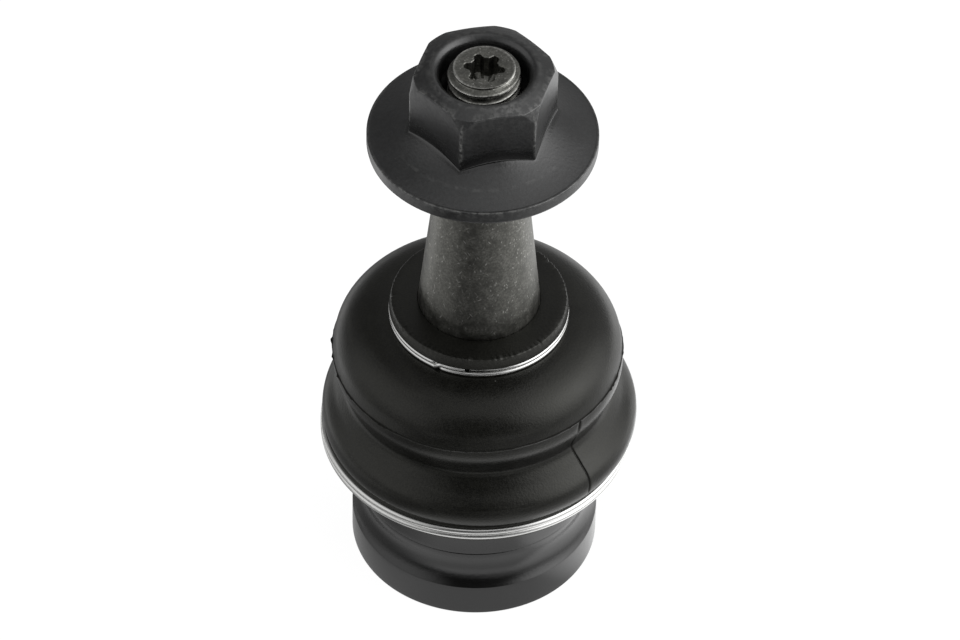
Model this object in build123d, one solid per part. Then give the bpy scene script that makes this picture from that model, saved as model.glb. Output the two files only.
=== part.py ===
from build123d import *
import os
from math import asin, cos, degrees, pi, radians, sin, tan

# Suspension ball joint: a press-in housing, a preloaded ball stud, a rubber dust boot held by two
# wire rings, and a flange nut run up to the end of the stud's thread. Millimetres and degrees,
# +Z along the stud, origin at the centre of the housing's lower face.

os.makedirs("parts", exist_ok=True)

# ---- closing parts in the foot ----
lip_height = 1.3              # rolled lip that holds the end cap
lip_reach = 1.9               # cover of the lip over the cap's edge
cap_ledge = 1.23              # cap radius beyond the socket's bore
cap_thickness = 3.0
cap_dish_radius = 9.0
cap_dish_depth = 1.1
cap_bead_radius = 12.6
cap_bead_width = 1.6
seal_thickness = 0.5
spring_gauge = 0.6            # disc spring under the lower shell
spring_rise = 0.5
spring_inner = 5.0
spring_outer = 12.0

# ---- ball and socket ----
ball_radius = 14.2
ball_gap = 0.05               # running clearance of the ball in its shells
seat_gap = 0.02               # assembly clearance of pieces pressed into the housing
shell_wall = 2.0              # plastic bearing shells round the ball
shell_floor = 1.85            # thickness under the ball
shell_split = 0.3             # gap between the two shells
shell_chamfer = 0.6
tilt_limit = 24.0             # each way
mouth_margin = 4.5            # between the fully tilted neck and the shell's mouth
mouth_step = 2.0              # housing seat beyond the shell's mouth
flare_margin = 6.0            # opening of the housing's mouth beyond the tilt
groove_count = 6              # grease grooves in each shell
groove_width = 1.6
groove_depth = 0.7
groove_margin = 6.0           # plain land at each end of a groove
relief_radius = 4.0           # grease pocket under the ball
relief_depth = 1.0
relief_land = 2.0             # overlap of the grooves into the pocket
ball_flat_depth = 0.5         # flat on the underside of the ball

# ---- housing ----
foot_wall = 3.8               # wall outside the end cap
base_height = 6.65
base_lead = 0.3               # lead-in chamfer of the press diameter
waist_depth = 1.7             # rolled groove above the foot's sharp edge
waist_rise = 2.45             # its narrowest height above the foot
neck_setback = 1.15           # neck inside the foot's radius
neck_offset = 5.0             # from the foot to the plain neck
band_setback = 0.8            # plain band inside the foot's radius
band_offset = 7.85            # from the foot to the band
band_break = 0.3
shoulder_rise = 1.8           # ledge that carries the boot, above the ball's centre
shoulder_reach = 2.7          # beyond the foot's radius
shoulder_rim = 0.7
shoulder_slope = 2.0          # height of the cone under the ledge
bead_seat_reach = 1.3         # seat of the boot's bead, beyond the foot's radius
bead_seat_height = 5.4
snap_step = 0.7               # lip above the bead
snap_height = 1.0
nose_wall = 2.72              # wall at the housing's upper end
nose_height = 2.4             # above the end of the spherical seat

# ---- dust boot ----
boot_wall = 1.9
boot_gap = 0.12               # clearance to the stud and the housing
boot_rest_gap = 0.2           # height above the ledge
bead_wall = 3.58
bead_foot_setback = 0.8
bead_lean = 0.25              # fall of the bead's edge below its crease
crease_inset = 0.35           # bead crease inside the bead's radius
lower_reach = 0.7             # lower bulge beyond the bead
lower_rise = 6.7              # its widest height above the boot's foot
fold_rise = 7.3               # crease between the bulges, above the lower one
fold_depth = 1.82             # crease inside the upper bulge
upper_setback = 2.28          # upper bulge inside the lower one
upper_rise = 6.1              # its widest height above the crease
dome_rise = 9.55
dome_power = 2.36             # superellipse of the dome
above_fold = (0.35, 1.6)      # outside surface, out and up from the crease
below_fold = (1.5, 2.5)       # out and down from the crease
above_bulge = (0.5, 2.3)      # in and up from the lower bulge
inner_lift = 0.8              # widest point of the inside surface above the outside's
inner_bulge = (0.9, 2.1)      # inside surface, in and up from the lower bulge
inner_below = (0.9, 1.8)      # out and down from the crease
inner_above = (0.5, 2.2)      # out and up from the crease
lip_wall = 4.45
lip_round = 0.5
lip_land = 2.05               # lip above the small ring
lip_root = 2.15               # lip below the small ring's groove
lip_overlap = 1.0             # lip outside the dome's inner end
lip_bevel = 1.5               # flat under the lip
crown_drop = 0.1              # small ring's groove below the crown

# ---- wire rings ----
wire_gap = 0.05               # clearance of the wire in its groove
turn_overlap = 0.04           # the two turns of a ring touch
large_wire = 1.2
large_ring_sink = 0.1         # centre line inside the bead's surface
large_ring_foot = 1.55        # bead below the groove
large_ring_land = 0.6         # bead above the groove
small_wire = 0.85
small_ring_sink = 0.02

# ---- ball stud ----
stud_neck_radius = 7.0
stud_neck_fillet = 1.2
neck_rise = 4.5               # parallel neck above the housing
flare_drop = 3.4              # end of the flare below the boot's lip
stud_seat_radius = 10.3       # plain length inside the boot's lip
taper_clear = 0.3             # start of the taper above the lip
taper_length = 35.2
taper_ratio = 5.0             # length over change of diameter
thread_radius = 6.0           # M12 x 1.75
thread_depth = 1.0
relief_neck_height = 2.0      # thread run-out
stud_proud = 0.5              # stud end above the nut
stud_end_chamfer = 0.85
torx_outer = 3.38             # T40 socket
torx_inner = 2.42
torx_lobe = 0.864
torx_valley = 1.127
torx_depth = 4.2
torx_tip = (0.2, 1.2)         # radius and depth of the cone below the socket
torx_turn = -8.0

# ---- flange nut ----
nut_stand = 1.0               # above the end of the taper
nut_height = 16.4
hex_across = 21.6             # takes a 22 mm spanner
hex_turn = 13.5
flange_radius = 19.1
flange_edge = 2.4             # height of the flange's rim
flange_round = 0.5
cone_foot_rise = 2.5          # flange cone, from the rim to the hexagon's corners
cone_top_rise = 4.4           # from the rim to the cone's end inside the hexagon
cone_top_inset = 1.5
crown_inset = 1.8             # the top slopes away from here, inside the flats
crown_fall = 0.9
hex_chamfer_start = 0.7       # turned corners, outside the flats
hex_chamfer_slope = 2.6       # fall over run
thread_gap = 0.05
counterbore_step = 1.4        # beyond the thread
counterbore_depth = 4.2
counterbore_chamfer = 0.8
underside_clear = 0.52        # bore round the end of the taper
underside_depth = 1.2


def on_sphere(radius, angle):
    """Point of the socket's sphere at a polar angle from +Z, as (radius, height)."""
    return radius * sin(radians(angle)), ball_height + radius * cos(radians(angle))


# socket stack, from the lower face up
cap_bottom = lip_height
cap_top = cap_bottom + cap_thickness
seal_top = cap_top + seal_thickness
shell_bottom = cap_top + spring_gauge + spring_rise
ball_height = shell_bottom + shell_floor + ball_gap + ball_radius
shell_bore = ball_radius + ball_gap
shell_radius = shell_bore + shell_wall
seat_radius = shell_radius + seat_gap
cap_radius = seat_radius + cap_ledge
lip_radius = cap_radius - lip_reach
shell_mouth_angle = degrees(asin(stud_neck_radius / ball_radius)) + tilt_limit + mouth_margin
seat_mouth_angle = shell_mouth_angle - mouth_step

# housing
base_radius = cap_radius + foot_wall
waist_radius = base_radius - waist_depth
waist_height = base_height + waist_rise
neck_radius = base_radius - neck_setback
neck_start = base_height + neck_offset
band_radius = base_radius - band_setback
band_start = base_height + band_offset
shoulder_radius = base_radius + shoulder_reach
shoulder_height = ball_height + shoulder_rise
shoulder_foot = shoulder_height - shoulder_rim - shoulder_slope
bead_seat_radius = base_radius + bead_seat_reach
bead_seat_top = shoulder_height + bead_seat_height
snap_radius = bead_seat_radius + snap_step
snap_top = bead_seat_top + snap_height
housing_height = on_sphere(seat_radius, seat_mouth_angle)[1] + nose_height

# boot and rings
bead_bottom = shoulder_height + boot_rest_gap
bead_radius = bead_seat_radius + boot_gap + bead_wall
large_half = large_wire + wire_gap
large_ring_radius = bead_radius - large_ring_sink
large_ring_height = bead_bottom + large_ring_foot + large_half
bead_crease_height = large_ring_height + large_half + large_ring_land
lower_radius = bead_radius + lower_reach
lower_height = bead_bottom + lower_rise
upper_radius = lower_radius - upper_setback
crease_radius = upper_radius - fold_depth
crease_height = lower_height + fold_rise
upper_height = crease_height + upper_rise
crown_height = upper_height + dome_rise
small_half = small_wire + wire_gap
small_ring_bottom = crown_height - crown_drop
small_ring_height = small_ring_bottom + small_half
stud_bore = stud_seat_radius + boot_gap
lip_outer = stud_bore + lip_wall
lip_base = small_ring_bottom - lip_root
lip_top = small_ring_height + small_half + lip_land
small_ring_radius = lip_outer - small_ring_sink
dome_centre = lip_outer - lip_overlap

# stud and nut
stud_neck_top = housing_height + neck_rise
stud_flare_top = lip_base - flare_drop
taper_start = lip_top + taper_clear
taper_end = taper_start + taper_length
taper_end_radius = stud_seat_radius - taper_length / (2 * taper_ratio)
nut_base = taper_end + nut_stand
nut_top = nut_base + nut_height
stud_height = nut_top + stud_proud
flat_radius = hex_across / 2
hex_corner = flat_radius / cos(radians(30))


def axis_profile(points):
    """Solid of revolution about Z from a closed list of (radius, height) points."""
    with BuildPart() as solid:
        with BuildSketch(Plane.XZ):
            with BuildLine():
                Polyline(*points, close=True)
            make_face()
        revolve(axis=Axis.Z)
    return solid.part


def make_housing():
    seat_r, seat_z = on_sphere(seat_radius, seat_mouth_angle)
    mouth_r = seat_r + nose_height * tan(radians(tilt_limit + flare_margin))
    seat_middle = on_sphere(seat_radius, (90 + seat_mouth_angle) / 2)
    with BuildPart() as body:
        with BuildSketch(Plane.XZ):
            with BuildLine():
                foot = Polyline(
                    (lip_radius, 0),
                    (base_radius - base_lead, 0),
                    (base_radius, base_lead),
                    (base_radius, base_height),
                )
                groove = TangentArc((waist_radius, waist_height), foot @ 1, tangent=(0, -1))
                sweep = Spline(groove @ 0, (neck_radius, neck_start), tangents=[(0, 1), (0, 1)])
                outer = Polyline(
                    sweep @ 1,
                    (neck_radius, band_start - band_break),
                    (band_radius, band_start),
                    (band_radius, shoulder_foot),
                    (shoulder_radius, shoulder_height - shoulder_rim),
                    (shoulder_radius, shoulder_height),
                    (bead_seat_radius, shoulder_height),
                    (bead_seat_radius, bead_seat_top),
                    (snap_radius, bead_seat_top),
                    (snap_radius, snap_top),
                    (mouth_r + nose_wall, housing_height),
                    (mouth_r, housing_height),
                    (seat_r, seat_z),
                )
                seat = ThreePointArc(outer @ 1, seat_middle, (seat_radius, ball_height))
                Polyline(
                    seat @ 1,
                    (seat_radius, seal_top),
                    (cap_radius + seat_gap, seal_top),
                    (cap_radius + seat_gap, cap_bottom),
                    (lip_radius, cap_bottom),
                    (lip_radius, 0),
                )
            make_face()
        revolve(axis=Axis.Z)
        rolled = body.edges().filter_by(GeomType.CIRCLE).filter_by(
            lambda edge: abs(edge.radius - lip_radius) < 0.01 and abs(edge.center().Z) < 0.01
        )
        fillet(rolled, lip_height * 0.6)
    return body.part


def make_end_cap():
    with BuildPart() as cap:
        add(axis_profile([
            (0, cap_bottom + cap_dish_depth),
            (cap_dish_radius, cap_bottom + cap_dish_depth),
            (cap_dish_radius + cap_dish_depth, cap_bottom),
            (cap_radius, cap_bottom),
            (cap_radius, cap_top),
            (0, cap_top),
        ]))
        with BuildSketch(Plane.XZ):
            with Locations((cap_bead_radius, cap_bottom)):
                Circle(cap_bead_width / 2)
        revolve(axis=Axis.Z, mode=Mode.SUBTRACT)
    return cap.part


def make_seal_ring():
    return axis_profile([
        (seat_radius, cap_top),
        (cap_radius, cap_top),
        (cap_radius, seal_top),
        (seat_radius, seal_top),
    ])


def make_disc_spring():
    return axis_profile([
        (spring_inner, cap_top + spring_rise),
        (spring_outer, cap_top),
        (spring_outer, cap_top + spring_gauge),
        (spring_inner, cap_top + spring_rise + spring_gauge),
    ])


def grease_grooves(first_angle, last_angle):
    """Cutters for the grease grooves: arc bands in meridian planes, between two polar angles."""
    inner = ball_radius - groove_depth
    outer = shell_bore + groove_depth
    middle = (first_angle + last_angle) / 2
    with BuildPart() as cutters:
        for index in range(groove_count):
            with BuildSketch(Plane.XZ.rotated((0, 0, index * 360 / groove_count))):
                with BuildLine():
                    back = ThreePointArc(
                        on_sphere(outer, first_angle), on_sphere(outer, middle), on_sphere(outer, last_angle)
                    )
                    Line(back @ 1, on_sphere(inner, last_angle))
                    front = ThreePointArc(
                        on_sphere(inner, first_angle), on_sphere(inner, middle), on_sphere(inner, last_angle)
                    )
                    Line(front @ 0, back @ 0)
                make_face()
            extrude(amount=groove_width / 2, both=True)
    return cutters.part


def make_lower_shell():
    pocket_angle = degrees(asin(relief_radius / ball_radius)) - relief_land
    height = ball_height - shell_split / 2 - shell_bottom
    with BuildPart() as shell:
        with Locations((0, 0, shell_bottom)):
            Cylinder(shell_radius, height, align=(Align.CENTER, Align.CENTER, Align.MIN))
        with Locations((0, 0, ball_height)):
            Sphere(shell_bore, mode=Mode.SUBTRACT)
        add(grease_grooves(90 + groove_margin, 180 - pocket_angle), mode=Mode.SUBTRACT)
        with Locations((0, 0, ball_height - ball_radius)):
            Cylinder(relief_radius, relief_depth * 2, mode=Mode.SUBTRACT)
        lower_rim = shell.edges().filter_by(GeomType.CIRCLE).sort_by(Axis.Z)[0]
        chamfer(lower_rim, shell_chamfer)
    return shell.part


def make_upper_shell():
    split = ball_height + shell_split / 2
    outer_start = (shell_radius * cos(asin(shell_split / 2 / shell_radius)), split)
    inner_start = (shell_bore * cos(asin(shell_split / 2 / shell_bore)), split)
    middle_angle = (90 + seat_mouth_angle) / 2
    with BuildPart() as shell:
        with BuildSketch(Plane.XZ):
            with BuildLine():
                rim = Line(inner_start, outer_start)
                back = ThreePointArc(
                    rim @ 1, on_sphere(shell_radius, middle_angle), on_sphere(shell_radius, seat_mouth_angle)
                )
                mouth = Line(back @ 1, on_sphere(shell_bore, shell_mouth_angle))
                ThreePointArc(mouth @ 1, on_sphere(shell_bore, middle_angle), inner_start)
            make_face()
        revolve(axis=Axis.Z)
        add(grease_grooves(shell_mouth_angle + groove_margin, 90 - groove_margin), mode=Mode.SUBTRACT)
    return shell.part


def torx_cutter():
    """Six-lobed socket with a short cone at its floor."""
    floor = stud_height - torx_depth
    with BuildPart() as cutter:
        with BuildSketch(Plane.XY.offset(floor)):
            Circle(torx_inner)
            with PolarLocations(torx_outer - torx_lobe, 6, start_angle=torx_turn):
                Circle(torx_lobe)
            with PolarLocations(torx_inner + torx_valley, 6, start_angle=torx_turn + 30):
                Circle(torx_valley, mode=Mode.SUBTRACT)
        extrude(amount=torx_depth)
        with Locations((0, 0, floor)):
            Cone(torx_tip[0], torx_inner, torx_tip[1], align=(Align.CENTER, Align.CENTER, Align.MAX))
    return cutter.part


def make_ball_stud():
    neck_foot = ball_height + (ball_radius ** 2 - stud_neck_radius ** 2) ** 0.5
    relief_radius_end = thread_radius - thread_depth
    with BuildPart() as stud:
        with Locations((0, 0, ball_height)):
            Sphere(ball_radius)
        with BuildSketch(Plane.XZ):
            with BuildLine():
                neck = Polyline((0, ball_height), (stud_neck_radius, ball_height), (stud_neck_radius, stud_neck_top))
                flare = Spline(neck @ 1, (stud_seat_radius, stud_flare_top), tangents=[(0, 1), (0, 1)])
                Polyline(
                    flare @ 1,
                    (stud_seat_radius, taper_start),
                    (taper_end_radius, taper_end),
                    (relief_radius_end, taper_end),
                    (relief_radius_end, taper_end + relief_neck_height),
                    (thread_radius, taper_end + relief_neck_height + thread_depth),
                    (thread_radius, stud_height - stud_end_chamfer),
                    (thread_radius - stud_end_chamfer, stud_height),
                    (0, stud_height),
                    (0, ball_height),
                )
            make_face()
        revolve(axis=Axis.Z)
        neck_edge = stud.edges().filter_by(GeomType.CIRCLE).filter_by(
            lambda edge: abs(edge.radius - stud_neck_radius) < 0.01 and abs(edge.center().Z - neck_foot) < 0.1
        )
        fillet(neck_edge, stud_neck_fillet)
        with Locations((0, 0, ball_height - ball_radius)):
            Cylinder(relief_radius, ball_flat_depth * 2, mode=Mode.SUBTRACT)
        add(torx_cutter(), mode=Mode.SUBTRACT)
    return stud.part


def make_flange_nut():
    rim_top = nut_base + flange_edge
    bore = thread_radius + thread_gap
    counterbore_radius = thread_radius + counterbore_step
    counterbore_floor = nut_top - counterbore_depth
    underside_bore = taper_end_radius + underside_clear
    turned_run = hex_corner - flat_radius
    with BuildPart() as nut:
        with BuildSketch(Plane.XZ):
            with BuildLine():
                edge = Polyline(
                    (0, nut_base),
                    (flange_radius - flange_round, nut_base),
                    (flange_radius, nut_base + flange_round),
                    (flange_radius, rim_top - flange_round),
                    (flange_radius - flange_round, rim_top),
                )
                cone_top = (flat_radius - cone_top_inset, rim_top + cone_top_rise)
                ThreePointArc(edge @ 1, (hex_corner, rim_top + cone_foot_rise), cone_top)
                Polyline(cone_top, (0, cone_top[1]), (0, nut_base))
            make_face()
        revolve(axis=Axis.Z)
        with BuildSketch(Plane.XY.offset(nut_base + flange_round)):
            RegularPolygon(flat_radius, 6, major_radius=False, rotation=hex_turn)
        extrude(amount=nut_height - flange_round)
        # the top slopes away, then the corners are turned off to a steep cone
        with BuildSketch(Plane.XZ):
            with BuildLine():
                start = flat_radius + hex_chamfer_start
                shoulder = nut_top - crown_fall
                Polyline(
                    (flat_radius - crown_inset, nut_top),
                    (start, shoulder),
                    (start + 2 * turned_run, shoulder - 2 * turned_run * hex_chamfer_slope),
                    (start + 2 * turned_run, nut_top),
                    close=True,
                )
            make_face()
        revolve(axis=Axis.Z, mode=Mode.SUBTRACT)
        add(axis_profile([
            (0, nut_base - underside_depth),
            (underside_bore, nut_base - underside_depth),
            (underside_bore, nut_base + underside_depth),
            (bore, nut_base + underside_depth + underside_bore - bore),
            (bore, counterbore_floor - counterbore_step),
            (counterbore_radius, counterbore_floor),
            (counterbore_radius, nut_top - counterbore_chamfer),
            (counterbore_radius + counterbore_chamfer * 2, nut_top + counterbore_chamfer),
            (0, nut_top + counterbore_chamfer),
        ]), mode=Mode.SUBTRACT)
    return nut.part


def dome_point(share, inset=0.0):
    """Point of the upper bulge, share 0 at its widest to 1 at its crown, moved in by inset."""
    angle = share * pi / 2
    power = 2 / dome_power
    reach = upper_radius - dome_centre - inset
    rise = dome_rise - inset
    return dome_centre + reach * cos(angle) ** power, upper_height + rise * sin(angle) ** power


def make_dust_boot():
    large_floor = large_ring_radius - large_wire / 2 - wire_gap
    small_floor = small_ring_radius - small_wire / 2 - wire_gap
    seat_bore = bead_seat_radius + boot_gap
    snap_bore = snap_radius + boot_gap
    inner_lower = (lower_radius - boot_wall, lower_height + inner_lift)
    inner_crease = (crease_radius - boot_wall, crease_height)
    inner_upper = (upper_radius - boot_wall, upper_height)
    with BuildPart() as boot:
        with BuildSketch(Plane.XZ):
            with BuildLine():
                lip = Polyline(
                    (stud_bore, lip_base),
                    (stud_bore, lip_top - lip_round),
                    (stud_bore + lip_round, lip_top),
                    (lip_outer - lip_round, lip_top),
                    (lip_outer, lip_top - lip_round),
                    (lip_outer, small_ring_height + small_half),
                    (small_floor, small_ring_height + small_half),
                    (small_floor, small_ring_bottom),
                    dome_point(0.93),
                )
                dome = Spline(
                    lip @ 1,
                    *[dome_point(share) for share in (0.8, 0.65, 0.5, 0.35, 0.2)],
                    (upper_radius, upper_height),
                    tangents=[(1, -0.12), (0, -1)],
                )
                waist = Spline(
                    dome @ 1,
                    (crease_radius + above_fold[0], crease_height + above_fold[1]),
                    (crease_radius, crease_height),
                    (crease_radius + below_fold[0], crease_height - below_fold[1]),
                    (lower_radius - above_bulge[0], lower_height + above_bulge[1]),
                    (lower_radius, lower_height),
                    tangents=[(0, -1), (0, -1)],
                )
                bead = Spline(
                    waist @ 1,
                    (bead_radius - crease_inset, bead_crease_height),
                    tangents=[(0, -1), (-1, -0.25)],
                )
                rim = Polyline(
                    bead @ 1,
                    (bead_radius, bead_crease_height - bead_lean),
                    (bead_radius, large_ring_height + large_half),
                    (large_floor, large_ring_height + large_half),
                    (large_floor, large_ring_height - large_half),
                    (bead_radius - bead_foot_setback, large_ring_height - large_half),
                    (bead_radius - bead_foot_setback, bead_bottom),
                    (seat_bore, bead_bottom),
                    (seat_bore, bead_seat_top - boot_gap),
                    (snap_bore, bead_seat_top - boot_gap),
                    (snap_bore, snap_top + boot_gap),
                    inner_lower,
                )
                fold = Spline(
                    rim @ 1,
                    (inner_lower[0] - inner_bulge[0], inner_lower[1] + inner_bulge[1]),
                    (inner_crease[0] + inner_below[0], inner_crease[1] - inner_below[1]),
                    inner_crease,
                    (inner_crease[0] + inner_above[0], inner_crease[1] + inner_above[1]),
                    inner_upper,
                    tangents=[(0, 1), (0, 1)],
                )
                inside = Spline(
                    fold @ 1,
                    *[dome_point(share, boot_wall) for share in (0.25, 0.45, 0.65, 0.85)],
                    tangents=[(0, 1), (-1, 0.12)],
                )
                Polyline(inside @ 1, (stud_bore + lip_bevel, lip_base), (stud_bore, lip_base))
            make_face()
        revolve(axis=Axis.Z)
    return boot.part


def wire_ring(radius, height, wire):
    """Clamp ring of two touching turns of round wire."""
    half = wire / 2 - turn_overlap / 2
    with BuildPart() as ring:
        with BuildSketch(Plane.XZ):
            with Locations((radius, height - half), (radius, height + half)):
                Circle(wire / 2)
        revolve(axis=Axis.Z)
    return ring.part


pieces = {
    "housing": make_housing(),
    "end_cap": make_end_cap(),
    "cap_seal_ring": make_seal_ring(),
    "preload_disc_spring": make_disc_spring(),
    "lower_bearing_shell": make_lower_shell(),
    "upper_bearing_shell": make_upper_shell(),
    "ball_stud": make_ball_stud(),
    "dust_boot": make_dust_boot(),
    "large_clamp_ring": wire_ring(large_ring_radius, large_ring_height, large_wire),
    "small_clamp_ring": wire_ring(small_ring_radius, small_ring_height, small_wire),
    "flange_nut": make_flange_nut(),
}

for node, shape in pieces.items():
    export_step(shape, f"parts/{node}.step")
    print(node, round(shape.volume, 1))
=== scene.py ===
import math
import random

import bmesh
import bpy
import numpy as np
from mathutils import Matrix, Vector


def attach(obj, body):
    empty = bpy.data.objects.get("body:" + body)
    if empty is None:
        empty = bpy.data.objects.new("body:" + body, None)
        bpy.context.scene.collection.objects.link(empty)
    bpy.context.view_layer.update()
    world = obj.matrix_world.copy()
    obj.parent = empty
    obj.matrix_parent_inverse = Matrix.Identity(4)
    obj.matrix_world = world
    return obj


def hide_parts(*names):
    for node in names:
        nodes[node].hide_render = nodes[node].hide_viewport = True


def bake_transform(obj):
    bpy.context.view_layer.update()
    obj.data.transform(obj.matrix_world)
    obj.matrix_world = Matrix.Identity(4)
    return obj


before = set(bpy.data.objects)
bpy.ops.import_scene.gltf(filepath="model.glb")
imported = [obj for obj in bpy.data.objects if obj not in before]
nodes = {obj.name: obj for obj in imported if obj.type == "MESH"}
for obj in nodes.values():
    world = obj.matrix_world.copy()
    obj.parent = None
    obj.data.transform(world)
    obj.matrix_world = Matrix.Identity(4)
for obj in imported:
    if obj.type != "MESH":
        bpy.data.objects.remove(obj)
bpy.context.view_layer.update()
mm = 0.001
fullTurn = 2 * math.pi
halfSide = math.pi / 6  # half of one side's turn in a six-sided form
mergeGap = 2e-6  # points nearer than this are one


def softLine(corners, steps=4):
    # corners are (radius, height, cut): each corner is rounded over its cut
    spots = np.array([corner[:2] for corner in corners], float)
    line = [spots[0]]
    for index in range(1, len(spots) - 1):
        before, here, after = spots[index - 1], spots[index], spots[index + 1]
        inward, outward = before - here, after - here
        inLength, outLength = np.linalg.norm(inward) + 1e-9, np.linalg.norm(outward) + 1e-9
        cut = min(corners[index][2], 0.45 * inLength, 0.45 * outLength)
        if cut < 1e-6:
            line.append(here)
            continue
        start, end = here + inward / inLength * cut, here + outward / outLength * cut
        for step in range(steps + 1):
            t = step / steps
            line.append((1 - t) ** 2 * start + 2 * t * (1 - t) * here + t ** 2 * end)
    line.append(spots[-1])
    return np.array(line)


def smoothLine(spots, startDirection, endDirection, steps=6):
    # a smooth curve through the spots, leaving and arriving in the given directions
    spots = np.array(spots, float)
    knots = np.concatenate([[0], np.cumsum(np.linalg.norm(np.diff(spots, axis=0), axis=1))])
    slopes = np.zeros_like(spots)
    slopes[0] = np.array(startDirection) / np.linalg.norm(startDirection)
    slopes[-1] = np.array(endDirection) / np.linalg.norm(endDirection)
    for index in range(1, len(spots) - 1):
        slopes[index] = (spots[index + 1] - spots[index - 1]) / (knots[index + 1] - knots[index - 1])
    line = []
    for index in range(len(spots) - 1):
        span = knots[index + 1] - knots[index]
        for step in range(steps):
            t = step / steps
            line.append(
                (2 * t ** 3 - 3 * t ** 2 + 1) * spots[index]
                + (t ** 3 - 2 * t ** 2 + t) * span * slopes[index]
                + (3 * t ** 2 - 2 * t ** 3) * spots[index + 1]
                + (t ** 3 - t ** 2) * span * slopes[index + 1])
    line.append(spots[-1])
    return np.array(line)


def arcLine(centre, radius, start, end, steps):
    # points on an arc, its angles in radians from the outward direction
    turns = np.linspace(start, end, steps + 1)
    return np.array(centre) + radius * np.stack([np.cos(turns), np.sin(turns)], -1)


def splitLong(line, longest):
    # adds points so that no stretch is longer than a number, or than a rule for its two ends
    result = [line[0]]
    for a, b in zip(line, line[1:]):
        limit = longest(a, b) if callable(longest) else longest
        parts = max(1, math.ceil(np.linalg.norm(b - a) / limit))
        result.extend(a + (b - a) * part / parts for part in range(1, parts + 1))
    return np.array(result)


def bump(value, centre, width):
    return math.exp(-((value - centre) / width) ** 2)


def evenAngles(count):
    return np.arange(count) * fullTurn / count


def turnFrom(angle, place):
    # signed angle from a place on the circle, the short way round
    return (angle - place + math.pi) % fullTurn - math.pi


def offCorner(angle):
    # signed angle from the nearest of six even corners
    return (angle + halfSide) % (math.pi / 3) - halfSide


def addObject(name, data):
    item = bpy.data.objects.new(name, data)
    bpy.context.scene.collection.objects.link(item)
    return item


def spinMesh(name, profile, angles, loop=False):
    # rings of a profile about the axis: profile is (rings, 2) or (rings, angles, 2)
    if profile.ndim == 2:
        profile = np.repeat(profile[:, None, :], len(angles), axis=1)
    ringCount, spokes = profile.shape[:2]
    x = profile[..., 0] * np.cos(angles)
    y = profile[..., 0] * np.sin(angles)
    spots = np.stack([x, y, profile[..., 1]], -1).reshape(-1, 3) * mm
    faces = []
    for ring in range(ringCount if loop else ringCount - 1):
        low, high = ring * spokes, (ring + 1) % ringCount * spokes
        for spoke in range(spokes):
            after = (spoke + 1) % spokes
            faces.append((low + spoke, low + after, high + after, high + spoke))
    mesh = bpy.data.meshes.new(name)
    mesh.from_pydata(spots.tolist(), [], faces)
    shell = bmesh.new()
    shell.from_mesh(mesh)
    bmesh.ops.remove_doubles(shell, verts=shell.verts, dist=mergeGap)
    bmesh.ops.dissolve_degenerate(shell, edges=shell.edges, dist=mergeGap / 2)
    bmesh.ops.recalc_face_normals(shell, faces=shell.faces)
    shell.to_mesh(mesh)
    shell.free()
    mesh.shade_smooth()
    return addObject(name, mesh)


def paintPoints(piece, name, rule):
    # keeps a share from 0 to 1 on each point, from its radius, height and angle
    layer = piece.data.attributes.new(name, "FLOAT", "POINT")
    spots = np.zeros(len(piece.data.vertices) * 3)
    piece.data.vertices.foreach_get("co", spots)
    spots = spots.reshape(-1, 3) / mm
    values = [rule(math.hypot(x, y), z, math.atan2(y, x)) for x, y, z in spots]
    layer.data.foreach_set("value", values)


def evenShading(piece):
    # flat faces keep flat normals beside their small rounds
    modifier = piece.modifiers.new("evenShading", "WEIGHTED_NORMAL")
    modifier.weight = 60
    modifier.keep_sharp = True


def finishPiece(piece, body, slot, material, *replaced):
    # a tree gives its piece the material itself, and a piece given no body is attached to none
    if material is not None:
        piece.data.materials.append(material)
    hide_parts(*replaced)
    if body is not None:
        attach(piece, body)


def setSocket(tree, socket, value):
    # value is a socket, a node for its first output, a number, a vector or a colour
    if isinstance(value, bpy.types.Node):
        value = value.outputs[0]
    if isinstance(value, bpy.types.NodeSocket):
        tree.links.new(value, socket)
    elif value is not None:
        socket.default_value = (*value, 1.0) if socket.type == "RGBA" else value


def addNode(tree, kind, settings=None, **sockets):
    node = tree.nodes.new(kind)
    for key, value in (settings or {}).items():
        setattr(node, key, value)
    for key, value in sockets.items():
        setSocket(tree, node.inputs[key.replace("_", " ")], value)
    return node


def fillSockets(tree, node, values):
    for socket, value in zip(node.inputs, values):
        setSocket(tree, socket, value)
    return node.outputs


def calc(tree, operation, a, b=None, c=None, clamp=False):
    node = addNode(tree, "ShaderNodeMath", {"operation": operation, "use_clamp": clamp})
    return fillSockets(tree, node, (a, b, c))[0]


def chain(tree, operation, value, *others):
    for other in others:
        value = calc(tree, operation, value, other)
    return value


def times(tree, *values):
    return chain(tree, "MULTIPLY", *values)


def most(tree, *values):
    return chain(tree, "MAXIMUM", *values)


def fromAxis(tree, x, y):
    return calc(tree, "SQRT", calc(tree, "ADD", times(tree, x, x), times(tree, y, y)))


def vectorCalc(tree, operation, a, b):
    node = addNode(tree, "ShaderNodeVectorMath", {"operation": operation})
    return fillSockets(tree, node, (a, b))["Value" if operation == "DOT_PRODUCT" else "Vector"]


def ramp(tree, value, low, high, outLow=0.0, outHigh=1.0):
    node = addNode(tree, "ShaderNodeMapRange", {"interpolation_type": "SMOOTHSTEP"})
    return fillSockets(tree, node, (value, low, high, outLow, outHigh))[0]


def rampFrom(tree, value, centre, *limits):
    # a ramp over the distance to a centre
    return ramp(tree, calc(tree, "ABSOLUTE", calc(tree, "SUBTRACT", value, centre)), *limits)


def mixColor(tree, amount, a, b):
    node = addNode(tree, "ShaderNodeMix", {"data_type": "RGBA"})
    return fillSockets(tree, node, [amount] + [None] * 5 + [a, b])[2]


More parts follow.
